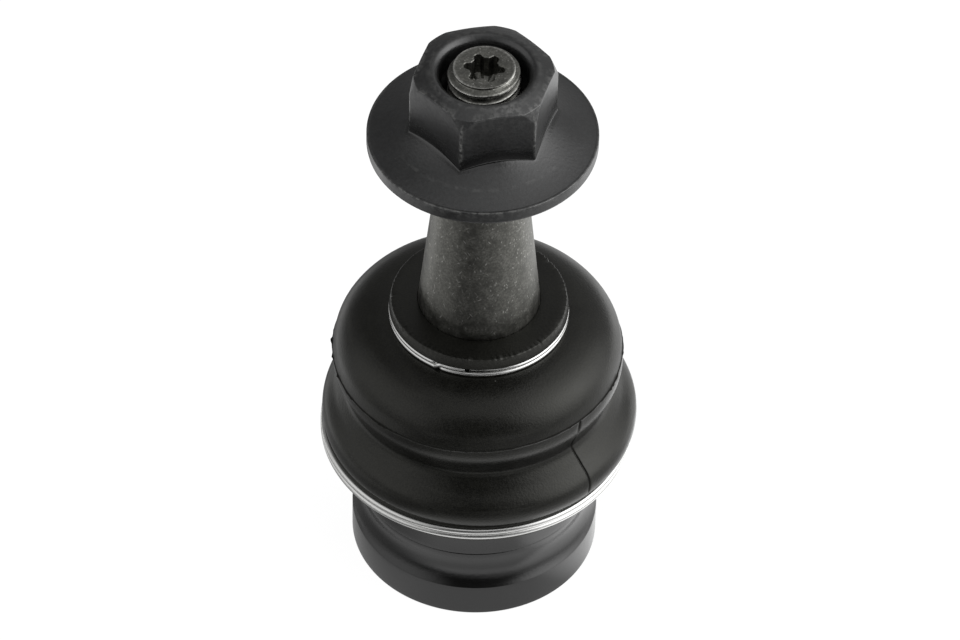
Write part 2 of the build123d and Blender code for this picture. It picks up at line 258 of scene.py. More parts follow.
def mixValue(tree, amount, a, b):
    node = addNode(tree, "ShaderNodeMix", {"data_type": "FLOAT"})
    return fillSockets(tree, node, (amount, None, a, b))[0]


def objectPlace(tree):
    return addNode(tree, "ShaderNodeTexCoord").outputs["Object"]


def splitPlace(tree, place):
    return addNode(tree, "ShaderNodeSeparateXYZ", Vector=place).outputs


def newGroup(name, kind, outputs, **inputs):
    # an input is its first number or vector, or the word for another kind of socket
    group = bpy.data.node_groups.new(name, kind)
    for label, value in inputs.items():
        word = value if isinstance(value, str) else "Vector" if isinstance(value, tuple) else "Float"
        socket = group.interface.new_socket(
            label.replace("_", " "), in_out="INPUT", socket_type="NodeSocket" + word)
        if word != value:
            socket.default_value = value
    for label in outputs:
        word = "Geometry" if label == "Geometry" else "Float"
        group.interface.new_socket(label, in_out="OUTPUT", socket_type="NodeSocket" + word)
    return group, group.nodes.new("NodeGroupInput").outputs, group.nodes.new("NodeGroupOutput").inputs


def makeGrain():
    # fine grain and broad mottling
    tree, given, result = newGroup("surfaceGrain", "ShaderNodeTree", ["Fine", "Broad"],
                                   Fine_Scale=1800.0, Broad_Scale=120.0, Stretch=(1.0, 1.0, 1.0))
    place = vectorCalc(tree, "MULTIPLY", objectPlace(tree), given["Stretch"])
    for label, detail in (("Fine", 3.0), ("Broad", 5.0)):
        noise = addNode(tree, "ShaderNodeTexNoise", Vector=place, Scale=given[label + " Scale"],
                        Detail=detail, Roughness=0.6)
        tree.links.new(noise.outputs[0], result[label])
    return tree


def makeEdgeWear():
    # mask of worn edges, broken up by noise
    tree, given, result = newGroup("edgeWear", "ShaderNodeTree", ["Mask"],
                                   Width=0.0004, Amount=0.5, Breakup_Scale=700.0)
    wide = addNode(tree, "ShaderNodeBevel", {"samples": 6}, Radius=given["Width"])
    plain = addNode(tree, "ShaderNodeNewGeometry").outputs["Normal"]
    edge = ramp(tree, vectorCalc(tree, "DOT_PRODUCT", wide, plain), 0.995, 0.9)
    noise = addNode(tree, "ShaderNodeTexNoise", Vector=objectPlace(tree), Scale=given["Breakup Scale"],
                    Detail=4.0, Roughness=0.7)
    broken = ramp(tree, noise, 0.42, 0.62)
    tree.links.new(times(tree, edge, broken, given["Amount"]), result["Mask"])
    return tree


def cellDots(tree, given, place, core):
    # a dot in a share of random cells, each with its own strength
    cells = addNode(tree, "ShaderNodeTexVoronoi", Vector=place, Scale=given["Scale"]).outputs
    dot = ramp(tree, cells["Distance"], given["Size"], times(tree, given["Size"], core))
    pick = addNode(tree, "ShaderNodeSeparateColor", Color=cells["Color"]).outputs
    return times(tree, dot, calc(tree, "LESS_THAN", pick[0], given["Share"]), pick[1])


def makeSpecks():
    # small pale specks of dust and lint
    tree, given, result = newGroup("dustSpecks", "ShaderNodeTree", ["Mask"],
                                   Scale=500.0, Size=0.12, Share=0.2)
    tree.links.new(cellDots(tree, given, objectPlace(tree), 0.4), result["Mask"])
    return tree


def makeScratches():
    # short fine strokes lying in several directions
    tree, given, result = newGroup("fineScratches", "ShaderNodeTree", ["Mask"],
                                   Scale=1500.0, Size=0.16, Share=0.5)
    strokes = []
    for lean, tip in ((0.1, 0.5), (-0.15, -0.65), (0.5, 0.15), (0.05, 1.05), (-0.4, -0.2)):
        spot = addNode(tree, "ShaderNodeMapping", {"vector_type": "TEXTURE"}, Vector=objectPlace(tree),
                       Rotation=(lean, tip, 0.0), Location=(tip, lean, 0.0), Scale=(1.0, 1.0, 5.0))
        strokes.append(cellDots(tree, given, spot, 0.3))
    tree.links.new(most(tree, *strokes), result["Mask"])
    return tree


grainGroup, wearGroup, speckGroup, scratchGroup = makeGrain(), makeEdgeWear(), makeSpecks(), makeScratches()


def useGroup(tree, group, **sockets):
    return addNode(tree, "ShaderNodeGroup", {"node_tree": group}, **sockets).outputs


def painted(tree, name):
    # a share that paintPoints kept on the piece, 0 where there is none
    return addNode(tree, "ShaderNodeAttribute", {"attribute_name": name}).outputs["Fac"]


def mottled(tree, grain, top):
    # broad and fine mottling together
    fine = ramp(tree, grain["Fine"], 0.4, 0.6, 0.0, 0.6)
    return calc(tree, "MULTIPLY_ADD", ramp(tree, grain["Broad"], 0.35, top), 0.4, fine)


def startMaterial(name, **sockets):
    material = bpy.data.materials.new(name)
    material.use_nodes = True
    tree = material.node_tree
    for key, value in sockets.items():
        setSocket(tree, tree.nodes["Principled BSDF"].inputs[key.replace("_", " ")], value)
    return material, tree


def finishMaterial(material, look, grain, mottle, layers=(), changes=(), roughBy="Broad"):
    # dark and light by the mottle, then each layer's colour over the last where its mask is
    tree = material.node_tree
    shader = tree.nodes["Principled BSDF"].inputs
    base = mixColor(tree, mottle, look["dark"], look["light"])
    for mask, color in layers:
        base = mixColor(tree, mask, base, color)
    rough = ramp(tree, grain[roughBy], 0.3, 0.7, *look["rough"])
    for mask, change in changes:
        rough = calc(tree, "MULTIPLY_ADD", mask, change, rough, clamp=True)
    relief = addNode(tree, "ShaderNodeBump", Height=grain["Fine"], Distance=look["bump"] * mm, Strength=1.0)
    for label, value in (("Base Color", base), ("Roughness", rough), ("Normal", relief)):
        setSocket(tree, shader[label], value)
    return material


def makeRubber(name, look):
    material, tree = startMaterial(name, IOR=look["ior"], Specular_Tint=(1.0, 1.0, 0.94))
    grain = useGroup(tree, grainGroup, Fine_Scale=look["fineScale"], Broad_Scale=look["broadScale"])
    streak = useGroup(tree, grainGroup, Fine_Scale=900.0, Broad_Scale=300.0, Stretch=(0.25, 0.25, 2.2))
    specks = useGroup(tree, speckGroup, Scale=330.0, Size=0.055, Share=look["dust"])
    bloom = times(tree, ramp(tree, streak["Broad"], 0.52, 0.75), look["bloom"])
    # painted shade along the mould's parting line, which is also rougher and shines less
    parting = painted(tree, "parting")
    return finishMaterial(material, look, grain, mottled(tree, grain, 0.7), [
        (bloom, look["bloomColor"]), (painted(tree, "trimmed"), look["trimColor"]),
        (times(tree, specks[0], 0.6), look["dustColor"]), (parting, look["partingShadeColor"]),
    ], [(bloom, 0.15), (parting, 0.8)])


print("finishes")
bootLook = {
    "ior": 1.47, "fineScale": 2600.0, "broadScale": 150.0, "dust": 0.06, "bloom": 0.35,
    "dark": (0.0013, 0.0013, 0.001), "light": (0.0064, 0.0064, 0.0052), "bloomColor": (0.014, 0.014, 0.012),
    "trimColor": (0.014, 0.014, 0.0125), "dustColor": (0.22, 0.22, 0.21),
    "partingShadeColor": (0.0006, 0.0006, 0.0005), "rough": (0.29, 0.36), "bump": 0.036,
}
bootRubber = makeRubber("bootRubber", bootLook)
sealRubber = makeRubber("sealRubber", dict(bootLook, rough=(0.6, 0.72), dust=0.03))


def makeHousingCoat():
    look = {
        "dark": (0.001, 0.001, 0.0009), "light": (0.0026, 0.0026, 0.0025), "wearColor": (0.05, 0.05, 0.048),
        "dustColor": (0.12, 0.12, 0.12), "rough": (0.19, 0.24), "bump": 0.02, "wear": 0.25,
    }
    material, tree = startMaterial("housingCoat", IOR=1.68)
    grain = useGroup(tree, grainGroup, Fine_Scale=1500.0, Broad_Scale=90.0)
    wear = useGroup(tree, wearGroup, Width=0.0005, Amount=look["wear"], Breakup_Scale=900.0)
    specks = useGroup(tree, speckGroup, Scale=420.0, Size=0.1, Share=0.06)
    return finishMaterial(material, look, grain, ramp(tree, grain["Broad"], 0.35, 0.68), [
        (wear[0], look["wearColor"]), (times(tree, specks[0], 0.3), look["dustColor"]),
    ])


def makeNutPhosphate():
    look = {
        "dark": (0.003, 0.0031, 0.0033), "light": (0.0105, 0.0108, 0.011), "rough": (0.28, 0.36),
        "bump": 0.035, "wear": 0.5, "scuffAndHighlightColor": (0.12, 0.12, 0.116), "dustColor": (0.16, 0.16, 0.16),
        "paintedShadeColor": (0.001, 0.001, 0.001), "markRadius": 0.015,
    }
    material, tree = startMaterial("nutPhosphate", IOR=1.8)
    grain = useGroup(tree, grainGroup, Fine_Scale=1700.0, Broad_Scale=160.0)
    flecks = useGroup(tree, grainGroup, Fine_Scale=2600.0, Broad_Scale=1100.0)
    wear = useGroup(tree, wearGroup, Width=0.0005, Amount=look["wear"], Breakup_Scale=600.0)
    scratch = useGroup(tree, scratchGroup, Scale=700.0, Size=0.07, Share=0.25)
    specks = useGroup(tree, speckGroup, Scale=520.0, Size=0.1, Share=0.1)
    # rubbed corners and edges, part wear and part painted highlight, broken up
    broken = ramp(tree, flecks["Broad"], 0.42, 0.62)
    rubbedAndHighlight = times(tree, painted(tree, "wearAndHighlight"), broken)
    # a faint pale circle on the flange, broken up, showing only towards the front
    x, y, z = splitPlace(tree, objectPlace(tree))
    circle = times(tree, rampFrom(tree, fromAxis(tree, x, y), look["markRadius"], 0.0004, 0.0001), broken,
                   ramp(tree, y, -0.004, -0.012, 0.0, 0.18))
    marks = most(tree, wear[0], times(tree, scratch[0], 0.35), rubbedAndHighlight, circle)
    # painted shade low on the flats, darker and a little smoother there
    paintedShade = painted(tree, "paintedShade")
    return finishMaterial(material, look, grain, mottled(tree, grain, 0.68), [
        (marks, look["scuffAndHighlightColor"]), (times(tree, specks[0], 0.3), look["dustColor"]),
        (paintedShade, look["paintedShadeColor"]),
    ], [(paintedShade, -0.16)])


def makeSteel(name, look):
    material, tree = startMaterial(name, Metallic=1.0)
    grain = useGroup(tree, grainGroup, Fine_Scale=look["fineScale"], Broad_Scale=look["broadScale"])
    scratch = useGroup(tree, scratchGroup, Scale=look["scratchScale"], Size=look["scratchSize"],
                       Share=look["scratch"])
    wear = useGroup(tree, wearGroup, Width=0.0003, Amount=look["wear"], Breakup_Scale=900.0)
    specks = useGroup(tree, speckGroup, Scale=look["speckScale"], Size=0.22, Share=look["specks"])
    mottle = times(tree, ramp(tree, grain["Broad"], 0.15, 0.8),
                   ramp(tree, grain["Fine"], 0.38, 0.62, 0.3, 1.0))
    clustered = times(tree, scratch[0], ramp(tree, grain["Broad"], 0.34, 0.6, 0.25, 0.8))
    # points kept as wear and painted highlight turn bright and a little smoother
    rubbedAndHighlight = times(tree, painted(tree, "wearAndHighlight"), ramp(tree, grain["Fine"], 0.35, 0.6, 0.35, 1.0))
    marks = most(tree, clustered, specks[0], wear[0], rubbedAndHighlight)
    return finishMaterial(material, look, grain, mottle, [(marks, look["bright"])], [(rubbedAndHighlight, -0.14)])


def makeShellPlastic():
    look = {"dark": (0.74, 0.72, 0.63), "light": (0.82, 0.8, 0.72), "rough": (0.42, 0.52), "bump": 0.005}
    material, tree = startMaterial("shellPlastic", IOR=1.48)
    grain = useGroup(tree, grainGroup, Fine_Scale=1600.0, Broad_Scale=110.0)
    return finishMaterial(material, look, grain, ramp(tree, grain["Broad"], 0.35, 0.68), roughBy="Fine")


housingCoat, nutPhosphate, shellPlastic = makeHousingCoat(), makeNutPhosphate(), makeShellPlastic()
studSteel = makeSteel("studSteel", {
    "fineScale": 2600.0, "broadScale": 620.0, "scratchScale": 1300.0, "scratchSize": 0.17, "scratch": 1.0,
    "speckScale": 1300.0, "specks": 0.04, "wear": 0.6, "dark": (0.115, 0.115, 0.105),
    "light": (0.27, 0.268, 0.246), "bright": (0.72, 0.715, 0.68), "rough": (0.34, 0.44), "bump": 0.008,
})
wireSteel = makeSteel("wireSteel", {
    "fineScale": 3200.0, "broadScale": 700.0, "scratchScale": 1500.0, "scratchSize": 0.05, "scratch": 0.2,
    "speckScale": 1200.0, "specks": 0.05, "wear": 0.0, "dark": (0.76, 0.76, 0.75),
    "light": (0.86, 0.86, 0.84), "bright": (0.95, 0.95, 0.94), "rough": (0.2, 0.26), "bump": 0.0005,
})
capLook = {
    "fineScale": 1400.0, "broadScale": 160.0, "scratchScale": 600.0, "scratchSize": 0.07, "scratch": 0.4,
    "speckScale": 600.0, "specks": 0.1, "wear": 0.4, "dark": (0.3, 0.3, 0.29),
    "light": (0.44, 0.44, 0.42), "bright": (0.62, 0.62, 0.6), "rough": (0.34, 0.46), "bump": 0.008,
}
capSteel = makeSteel("capSteel", capLook)
springSteel = makeSteel("springSteel", dict(
    capLook, broadScale=240.0, scratchScale=800.0, scratch=0.3, speckScale=700.0, dark=(0.2, 0.19, 0.19),
    light=(0.32, 0.31, 0.31), bright=(0.5, 0.5, 0.5), rough=(0.32, 0.44), bump=0.006))

# CAD nodes that stay, with their finishes
keptNodes = {
    "end_cap": capSteel, "cap_seal_ring": sealRubber, "preload_disc_spring": springSteel,
    "lower_bearing_shell": shellPlastic, "upper_bearing_shell": shellPlastic,
}
for nodeName, finish in keptNodes.items():
    nodes[nodeName].data.materials.clear()
    nodes[nodeName].data.materials.append(finish)

print("housing")
housing = {
    "lipRadius": 15.6, "capRadius": 17.52, "capBottom": 1.3, "sealTop": 4.8, "seatRadius": 16.27,
    "ballHeight": 21.5, "mouthAngle": 56.04, "footRadius": 21.3, "footHeight": 6.65, "footLead": 0.3,
    "waist": (19.75, 10.8), "neck": (20.1, 13.8), "spokes": 288, "ringStep": 0.9,
    # undercut, plain band, flange and the boot's seat: radius, height and rounding
    "above": [
        (20.1, 13.95, 0.1), (19.85, 14.2, 0.1), (20.5, 14.55, 0.2), (20.5, 20.6, 0.5), (24.0, 22.6, 0.25),
        (24.0, 23.3, 0.25), (22.6, 23.3, 0.2), (22.6, 28.7, 0.15), (23.3, 28.7, 0.15), (23.3, 29.7, 0.3),
        (17.6, 32.99, 0.3), (14.88, 32.99, 0.25),
    ],
}


def waistLine():
    # rolled groove from the foot's sharp edge in to the waist, then out to the neck
    waistRadius, waistHeight = housing["waist"]
    depth = housing["footRadius"] - waistRadius
    rise = waistHeight - housing["footHeight"]
    radius = (depth ** 2 + rise ** 2) / (2 * depth)
    start = math.pi + math.asin(rise / radius)
    groove = arcLine((waistRadius + radius, waistHeight), radius, start, math.pi, 12)
    return np.vstack([groove[1:], smoothLine([housing["waist"], housing["neck"]], (0, 1), (0, 1), 8)[1:]])


def buildHousing():
    seat = []
    for share in np.linspace(0, 1, 15):
        angle = math.radians(housing["mouthAngle"] + (90 - housing["mouthAngle"]) * share)
        seat.append((housing["seatRadius"] * math.sin(angle),
                     housing["ballHeight"] + housing["seatRadius"] * math.cos(angle), 0.0))
    foot, lead = housing["footRadius"], housing["footLead"]
    corners = [
        (housing["lipRadius"], housing["capBottom"], 0.1), (housing["lipRadius"], 0.0, 0.8),
        (foot - lead, 0.0, 0.1), (foot, lead, 0.1), (foot, housing["footHeight"], 0.07),
    ] + [(radius, height, 0.0) for radius, height in waistLine()] + housing["above"] + seat + [
        (housing["seatRadius"], housing["sealTop"], 0.05), (housing["capRadius"], housing["sealTop"], 0.05),
        (housing["capRadius"], housing["capBottom"], 0.05), (housing["lipRadius"], housing["capBottom"], 0.0),
    ]
    line = splitLong(softLine(corners), housing["ringStep"])[:-1]
    piece = spinMesh("housingBody", line, evenAngles(housing["spokes"]), loop=True)
    evenShading(piece)
    finishPiece(piece, "housing", "housing_coating", housingCoat, "housing")


buildHousing()

print("ball stud")
stud = {
    "ballRadius": 14.2, "ballHeight": 21.5, "ballFlat": 7.8, "neckRadius": 7.0, "neckTop": 37.5,
    "flareTop": 47.5, "seatRadius": 10.3, "taperStart": 57.2, "taperEnd": 92.4, "taperEndRadius": 6.78,
    "reliefRadius": 5.0, "reliefTop": 94.4, "threadRadius": 6.0, "rootRadius": 4.95, "pitch": 1.75,
    "endHeight": 110.3, "chamferRadius": 5.78, "faceEdge": 5.0, "faceInner": 3.9, "spokes": 240,
    "torxOuter": 3.38, "torxInner": 2.42, "torxLobe": 0.864, "torxValley": 1.127, "torxDepth": 4.2,
    "torxTurn": -8.0, "ringStep": 1.2, "threadStep": 0.11, "threadPhase": 0.85,
}


def torxRadius(angle):
    # the six-lobed outline's radius at an angle from the first lobe
    lobe, valley = stud["torxLobe"], stud["torxValley"]
    lobeCentre = stud["torxOuter"] - lobe
    valleyCentre = stud["torxInner"] + valley
    off = offCorner(angle)
    radius = stud["torxInner"]
    reach = lobe ** 2 - (lobeCentre * math.sin(off)) ** 2
    if reach > 0:
        radius = max(radius, lobeCentre * math.cos(off) + math.sqrt(reach))
    side = halfSide - abs(off)
    reach = valley ** 2 - (valleyCentre * math.sin(side)) ** 2
    if reach > 0:
        radius = min(radius, valleyCentre * math.cos(side) - math.sqrt(reach))
    return radius


def studProfile():
    ball = []
    low = math.acos((stud["ballHeight"] - stud["ballFlat"]) / stud["ballRadius"])
    neckFoot = math.asin(stud["neckRadius"] / stud["ballRadius"])
    for share in np.linspace(0, 1, 60):
        polar = math.pi - low - (math.pi - low - neckFoot - 0.09) * share
        ball.append((stud["ballRadius"] * math.sin(polar),
                     stud["ballHeight"] + stud["ballRadius"] * math.cos(polar)))
    neckJoin = (stud["neckRadius"], ball[-1][1] + 1.6)
    neck = smoothLine([ball[-1], neckJoin], (-0.9, 0.55), (0, 1), 6)
    flare = smoothLine([(stud["neckRadius"], stud["neckTop"]), (stud["seatRadius"], stud["flareTop"])],
                       (0, 1), (0, 1), 16)
    edge, top = stud["faceEdge"], stud["endHeight"]
    upper = softLine([
        (*flare[-1], 0), (stud["seatRadius"], stud["taperStart"], 0.3),
        (stud["taperEndRadius"], stud["taperEnd"], 0.25), (stud["reliefRadius"], stud["taperEnd"], 0.3),
        (stud["reliefRadius"], stud["reliefTop"], 0.1), (stud["threadRadius"], stud["reliefTop"] + 1.0, 0.1),
        (stud["threadRadius"], top - 1.0, 0.12), (stud["chamferRadius"], top - 0.58, 0.12),
        (edge + 0.24, top - 0.44, 0.08), (edge + 0.12, top, 0.14), (edge - 0.5, top - 0.03, 0.1),
        (stud["faceInner"], top - 0.06, 0),
    ])

    def stepAt(a, b):
        inThread = min(a[1], b[1]) > stud["reliefTop"] - 0.2 and max(a[0], b[0]) > stud["rootRadius"]
        return stud["threadStep"] if inThread else stud["ringStep"]

    return splitLong(np.vstack([[(0.0, stud["ballFlat"])], ball, neck[1:], flare, upper[1:]]), stepAt)


def endTree(tree, last, given, result):
    solid = addNode(tree, "GeometryNodeRealizeInstances", Geometry=last)
    coated = addNode(tree, "GeometryNodeSetMaterial", Geometry=solid, Material=given["Material"])
    setSocket(tree, result["Geometry"], coated)
    return tree


def makeThreadTree():
    # moves points in to a helical groove: radius never above crest or groove wall
    tree, given, result = newGroup(
        "cutThread", "GeometryNodeTree", ["Geometry"], Geometry="Geometry", Crest_Radius=0.006,
        Root_Radius=0.005, Pitch=0.00175, Start_Height=0.09, Phase=0.0, Material="Material")
    x, y, z = splitPlace(tree, addNode(tree, "GeometryNodeInputPosition"))
    radius = fromAxis(tree, x, y)
    turn = calc(tree, "DIVIDE", calc(tree, "ARCTAN2", y, x), fullTurn)
    rise = calc(tree, "DIVIDE", z, given["Pitch"])
    phase = calc(tree, "FRACT", calc(tree, "ADD", calc(tree, "SUBTRACT", rise, turn), given["Phase"]))
    away = calc(tree, "ABSOLUTE", calc(tree, "MULTIPLY_ADD", phase, 2.0, -1.0))
    wall = mixValue(tree, ramp(tree, away, 0.1, 0.86), given["Crest Radius"], given["Root Radius"])
    scale = calc(tree, "DIVIDE", calc(tree, "MINIMUM", radius, wall), most(tree, radius, 1e-6))
    moved = addNode(tree, "ShaderNodeCombineXYZ", X=times(tree, x, scale), Y=times(tree, y, scale), Z=z)
    chosen = calc(tree, "GREATER_THAN", z, given["Start Height"])
    shift = addNode(tree, "GeometryNodeSetPosition", Geometry=given["Geometry"], Selection=chosen,
                    Position=moved)
    return endTree(tree, shift, given, result)


def applyTree(piece, tree, values):
    # runs a tree on a piece and keeps its result as a plain mesh
    modifier = piece.modifiers.new(tree.name, "NODES")
    modifier.node_group = tree
    for item in tree.interface.items_tree:
        if item.in_out == "INPUT" and item.name in values:
            modifier[item.identifier] = values[item.name]
    bpy.context.view_layer.update()
    ready = piece.evaluated_get(bpy.context.evaluated_depsgraph_get())
    mesh = bpy.data.meshes.new_from_object(ready)
    piece.modifiers.remove(modifier)
    piece.data = mesh
    mesh.shade_smooth()


def studWearAndHighlight(radius, height, angle):
    # rubbed bright, partly wear and partly painted highlight: the end face's edge and the crests of the last
    # threads
    if height < stud["reliefTop"] + 1:
        return 0.0
    face = bump(radius, stud["faceEdge"] + 0.05, 0.22) * bump(height, stud["endHeight"] - 0.05, 0.16)
    crest = bump(radius, stud["threadRadius"], 0.16) * (1.0 if height > stud["endHeight"] - 3 else 0.5)
    return min(1.0, 0.9 * face + crest)


def buildStud():
    line = studProfile()
    angles = evenAngles(stud["spokes"])
    outline = np.array([torxRadius(angle - math.radians(stud["torxTurn"])) for angle in angles])
    rings = [np.repeat(spot[None, :], len(angles), axis=0) for spot in line]
    top, floor = stud["endHeight"], stud["endHeight"] - stud["torxDepth"]
    for radius, height in (
        (outline + 0.26, top - 0.06), (outline + 0.12, top - 0.08), (outline + 0.04, top - 0.13),
        (outline, top - 0.22), (outline, top - 1.2), (outline, top - 2.4), (outline, floor + 0.05),
        (outline - 0.06, floor), (outline * 0.6, floor - 0.35), (outline * 0.0 + 0.2, floor - 1.2),
        (outline * 0.0, floor - 1.2),
    ):
        rings.append(np.stack([radius, np.full(len(angles), height)], -1))
    piece = spinMesh("ballStud", np.array(rings), angles)
    applyTree(piece, makeThreadTree(), {
        "Crest Radius": stud["threadRadius"] * mm, "Root Radius": stud["rootRadius"] * mm,
        "Pitch": stud["pitch"] * mm, "Start Height": (stud["reliefTop"] + 0.1) * mm,
        "Phase": stud["threadPhase"], "Material": studSteel,
    })
    paintPoints(piece, "wearAndHighlight", studWearAndHighlight)
    evenShading(piece)
    finishPiece(piece, "stud", "stud_steel", None, "ball_stud")


buildStud()

print("flange nut")
nut = {
    "base": 93.4, "top": 109.8, "across": 21.6, "turn": 13.5, "cornerRound": 0.45, "edgeRound": 0.25,
    "flangeRadius": 19.1, "rim": 2.4, "rimBottomRound": 0.45, "rimTopRound": 0.22,
    "coneStart": (18.6, 95.8), "coneCorner": 98.3, "coneTop": (9.5, 100.2), "footFillet": 0.5,
    "crownStart": 9.0, "crownFall": 0.9, "turnedStart": 11.5, "turnedSlope": 2.6, "boreRadius": 6.06,
    "counterbore": 7.4, "counterboreDepth": 4.2, "mouth": 0.9, "undersideBore": 7.3, "undersideDepth": 1.2,
    "spokesPerCorner": 47, "spokeCrowding": 1.8, "paintedShadeFade": 2.2,
    # rubbed stretches of the crown: azimuth, its spread, radius and strength
    "crownRubs": [(-38, 15, 11.2, 0.85), (-66, 14, 9.8, 0.6)], "rubWidth": 0.8,
}


def hexRadius(angle):
    # rounded hexagon's radius at an angle from a corner
    flat = nut["across"] / 2
    off = abs(offCorner(angle))
    small = nut["cornerRound"]
    centre = (flat - small) / math.cos(halfSide)
    touch = math.atan2(small * 0.5, centre + small * math.cos(halfSide))
    if off < touch:
        return centre * math.cos(off) + math.sqrt(small ** 2 - (centre * math.sin(off)) ** 2)
    return flat / math.cos(halfSide - off)


def coneHeight(radius):
    # flange's upper face: a shallow curve from the rim up to the hexagon
    corner = nut["across"] / 2 / math.cos(halfSide)
    spots = (nut["coneStart"], (corner, nut["coneCorner"]), nut["coneTop"])
    total = 0.0
    for index, (spotRadius, height) in enumerate(spots):
        weight = 1.0
        for other, (otherRadius, _) in enumerate(spots):
            if other != index:
                weight *= (radius - otherRadius) / (spotRadius - otherRadius)
        total += weight * height
    return total


def turnedEdge(radius):
    # a small round rolled over the flat, the turned corner and the sloping top
    small = nut["edgeRound"]
    start = np.array([nut["turnedStart"], nut["top"] - nut["crownFall"]])
    leans = [math.atan2(1, nut["turnedSlope"]), math.atan2(start[0] - nut["crownStart"], nut["crownFall"])]
    normals = np.array([(math.cos(lean), math.sin(lean)) for lean in leans])
    reaches = normals @ start - small
    high = np.linalg.solve(normals, reaches)
    low = np.array([radius - small, (reaches[0] - normals[0, 0] * (radius - small)) / normals[0, 1]])
    if radius - small < high[0]:
        height = (reaches[1] - normals[1, 0] * (radius - small)) / normals[1, 1]
        low = high = np.array([radius - small, height])
    return np.vstack([arcLine(low, small, 0, leans[0], 2), arcLine(high, small, leans[0], leans[1], 4)])


def nutLine(radius):
    # profile through one spoke, for that spoke's hexagon radius
    base, top = nut["base"], nut["top"]
    rimRadius, rimTop = nut["flangeRadius"], nut["base"] + nut["rim"]
    corners = [
        (nut["boreRadius"], base + 2.4, 0), (nut["undersideBore"], base + nut["undersideDepth"], 0.1),
        (nut["undersideBore"], base, 0.2), (rimRadius, base, nut["rimBottomRound"]),
        (rimRadius, rimTop, nut["rimTopRound"]),
    ]
    for share in np.linspace(0.0, 0.94, 14):
        spot = nut["coneStart"][0] + (radius - nut["coneStart"][0]) * share
        corners.append((spot, coneHeight(spot), 0.01))
    foot = coneHeight(radius)
    corners.append((radius, foot, nut["footFillet"]))
    corners += [(radius, foot + rise, 0) for rise in (1.1, 1.9, 2.9, 4.0)]
    slope = nut["crownFall"] / (nut["turnedStart"] - nut["crownStart"])
    inside = softLine([
        (nut["crownStart"] + 0.8, top - 0.8 * slope, 0), (nut["crownStart"], top, 0.5),
        (nut["counterbore"] + nut["mouth"], top, 0.3), (nut["counterbore"], top - nut["mouth"], 0.5),
        (nut["counterbore"], top - nut["counterboreDepth"], 0.3),
        (nut["boreRadius"], top - nut["counterboreDepth"] - 1.4, 0.2), (nut["boreRadius"], base + 2.4, 0),
    ], steps=3)
    edge = turnedEdge(radius)
    return np.vstack([softLine(corners, steps=3), [[radius, edge[0, 1] - 0.3]], edge, inside[:-1]])


def nutPaintedShade(radius, height, angle):
    # painted shade: a dark band low on the flats, where the flange begins
    side = hexRadius(angle - math.radians(nut["turn"]))
    rise = height - coneHeight(side)
    if radius < side - 0.2 or radius > side + 0.5 or rise > 3.5:
        return 0.0
    return min(1.0, max(0.0, 1.3 - rise / nut["paintedShadeFade"]))


def nutWearAndHighlight(radius, height, angle):
    # rubbed bright, partly wear and partly painted highlight: the hexagon's corners and upper edges, the rim
    # and one stretch of the crown
    away = angle - math.radians(nut["turn"])
    side, top = hexRadius(away), nut["top"] - nut["crownFall"]
    off = abs(offCorner(away))
    if radius > side + 0.8:
        return 0.8 * bump(radius, nut["flangeRadius"], 0.22) * bump(height, nut["base"] + nut["rim"], 0.2)
    rise = height - coneHeight(side)
    if radius > side - 0.3 and rise > 0.6:
        corner = bump(off * side, 0, 0.26) if height < top else 0.0
        edge = 0.5 * bump(radius, side - 0.16, 0.13) if height > top - 3.4 and off * side > 0.5 else 0.0
        return max(corner, edge)
    if height > top - 0.4:
        turn = math.degrees(angle)
        rubs = sum(strength * bump(turn, azimuth, spread) * bump(radius, reach, nut["rubWidth"])
                   for azimuth, spread, reach, strength in nut["crownRubs"])
        return rubs + 0.25 * bump(radius, nut["crownStart"], 0.4)
    return 0.0


def buildNut():
    # spokes crowd towards each corner
    flatTurn, count = math.pi / 3, nut["spokesPerCorner"]
    shares = [step / (count // 2) for step in range(-(count // 2), count // 2)]
    angles = np.array([
        corner * flatTurn + math.copysign(abs(share) ** nut["spokeCrowding"], share) * flatTurn / 2
        for corner in range(6) for share in shares
    ])
    profile = np.stack([nutLine(hexRadius(angle)) for angle in angles], axis=1)
    piece = spinMesh("flangeNut", profile, angles + math.radians(nut["turn"]), loop=True)
    paintPoints(piece, "paintedShade", nutPaintedShade)
    paintPoints(piece, "wearAndHighlight", nutWearAndHighlight)
    evenShading(piece)
    finishPiece(piece, "nut", "nut_phosphate", nutPhosphate, "flange_nut")


buildNut()

print("dust boot")
boot = {
    "stud": 10.34, "lipBase": 50.9, "lipTop": 56.9, "lipOuter": 14.87, "lipFlare": 0.36,
    "smallFloor": 14.375, "smallTop": 54.85, "smallBottom": 53.05,
    "domeCentre": 13.87, "domeReach": 10.85, "domeRise": 9.55, "domePower": 2.36,
    "upper": (24.72, 43.6), "crease": (22.9, 37.5), "lower": (27.0, 30.2),
    "beadCrease": (25.95, 28.15), "beadRadius": 26.3, "beadFoot": 25.5, "beadBottom": 23.5,
    "largeFloor": 25.55, "largeTop": 27.55, "largeBottom": 25.05, "seatBore": 22.72, "seatTop": 28.58,
    "snapBore": 23.42, "snapTop": 29.82, "wall": 1.9,
    "flashHeight": 45.1, "flashTilt": 0.5, "flashRise": 0.16, "flashWidth": 0.16,
    "flashNubs": 46, "lipNicks": 16, "partingAbove": 0.16, "partingWidth": 0.13,
    "lean": 0.5, "leanHeight": 31.0, "leanReach": 4.5, "creaseLine": 36.9,
    "seamAzimuth": -44.0, "seamFoot": 29.2, "seamDepth": 0.22, "seamWidth": 0.16,
    "spokes": 300, "seamSpokes": 30, "ringStep": 0.6, "flashStep": 0.075,
}


def domePoint(share, inset=0.0):
    angle, power = share * math.pi / 2, 2 / boot["domePower"]
    return (boot["domeCentre"] + (boot["domeReach"] - inset) * math.cos(angle) ** power,
            boot["upper"][1] + (boot["domeRise"] - inset) * math.sin(angle) ** power)


